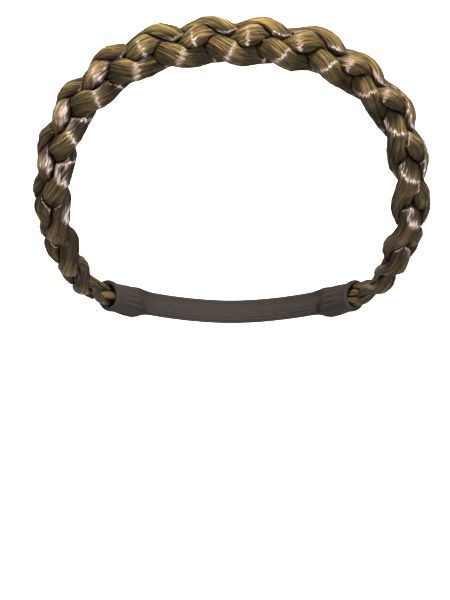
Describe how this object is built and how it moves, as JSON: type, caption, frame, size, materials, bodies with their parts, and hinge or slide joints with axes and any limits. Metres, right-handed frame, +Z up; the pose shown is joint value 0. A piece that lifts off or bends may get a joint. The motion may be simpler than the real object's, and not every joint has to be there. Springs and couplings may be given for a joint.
{
  "type": "headband hairpiece",
  "caption": "Thick half-round braid of golden brown synthetic hair, worn as a headband over the head and closed at the nape by an elastic band.",
  "frame": {"origin": "where the underside of the braid rests on the crown of the head, in the middle of the arch", "axes": "+Z up as worn, -Y the way the wearer faces, +X the wearer's left"},
  "size_m": [0.184, 0.1502, 0.138],
  "materials": {
    "hair": "glossy straight synthetic fibre, golden brown with olive and reddish locks",
    "elastic": "matt woven elastic, dark brown"
  },
  "bodies": {
    "root": {"strand_a": "hair", "strand_b": "hair", "strand_c": "hair", "strand_d": "hair", "elastic_band": "elastic"}
  },
  "joints": []
}
